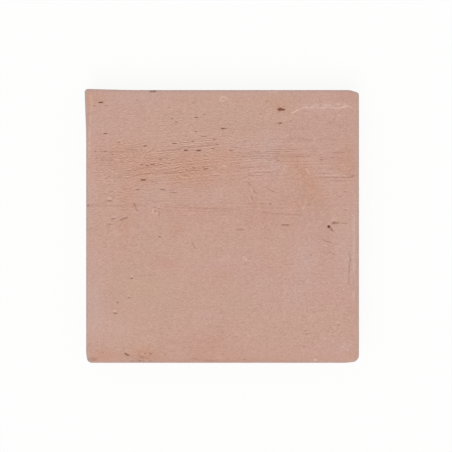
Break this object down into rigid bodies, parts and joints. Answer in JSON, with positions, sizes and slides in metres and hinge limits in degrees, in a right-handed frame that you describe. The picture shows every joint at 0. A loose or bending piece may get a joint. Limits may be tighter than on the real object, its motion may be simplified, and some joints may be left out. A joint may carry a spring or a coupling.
{
  "type": "terracotta floor tile",
  "caption": "Square hand-moulded terracotta floor tile with soft rounded edges, uneven corners and a wiped, pitted matte face.",
  "frame": {"origin": "middle of the tile's nominal square, on its back face", "axes": "+Z out of the walking face, +Y towards the edge that ends in the dragged corner, +X along that edge away from the dragged corner"},
  "size_m": [0.2011, 0.2008, 0.02],
  "materials": {
    "terracotta": "unglazed, matte, fired clay"
  },
  "bodies": {
    "root": {"floor_tile": "terracotta"}
  },
  "joints": []
}
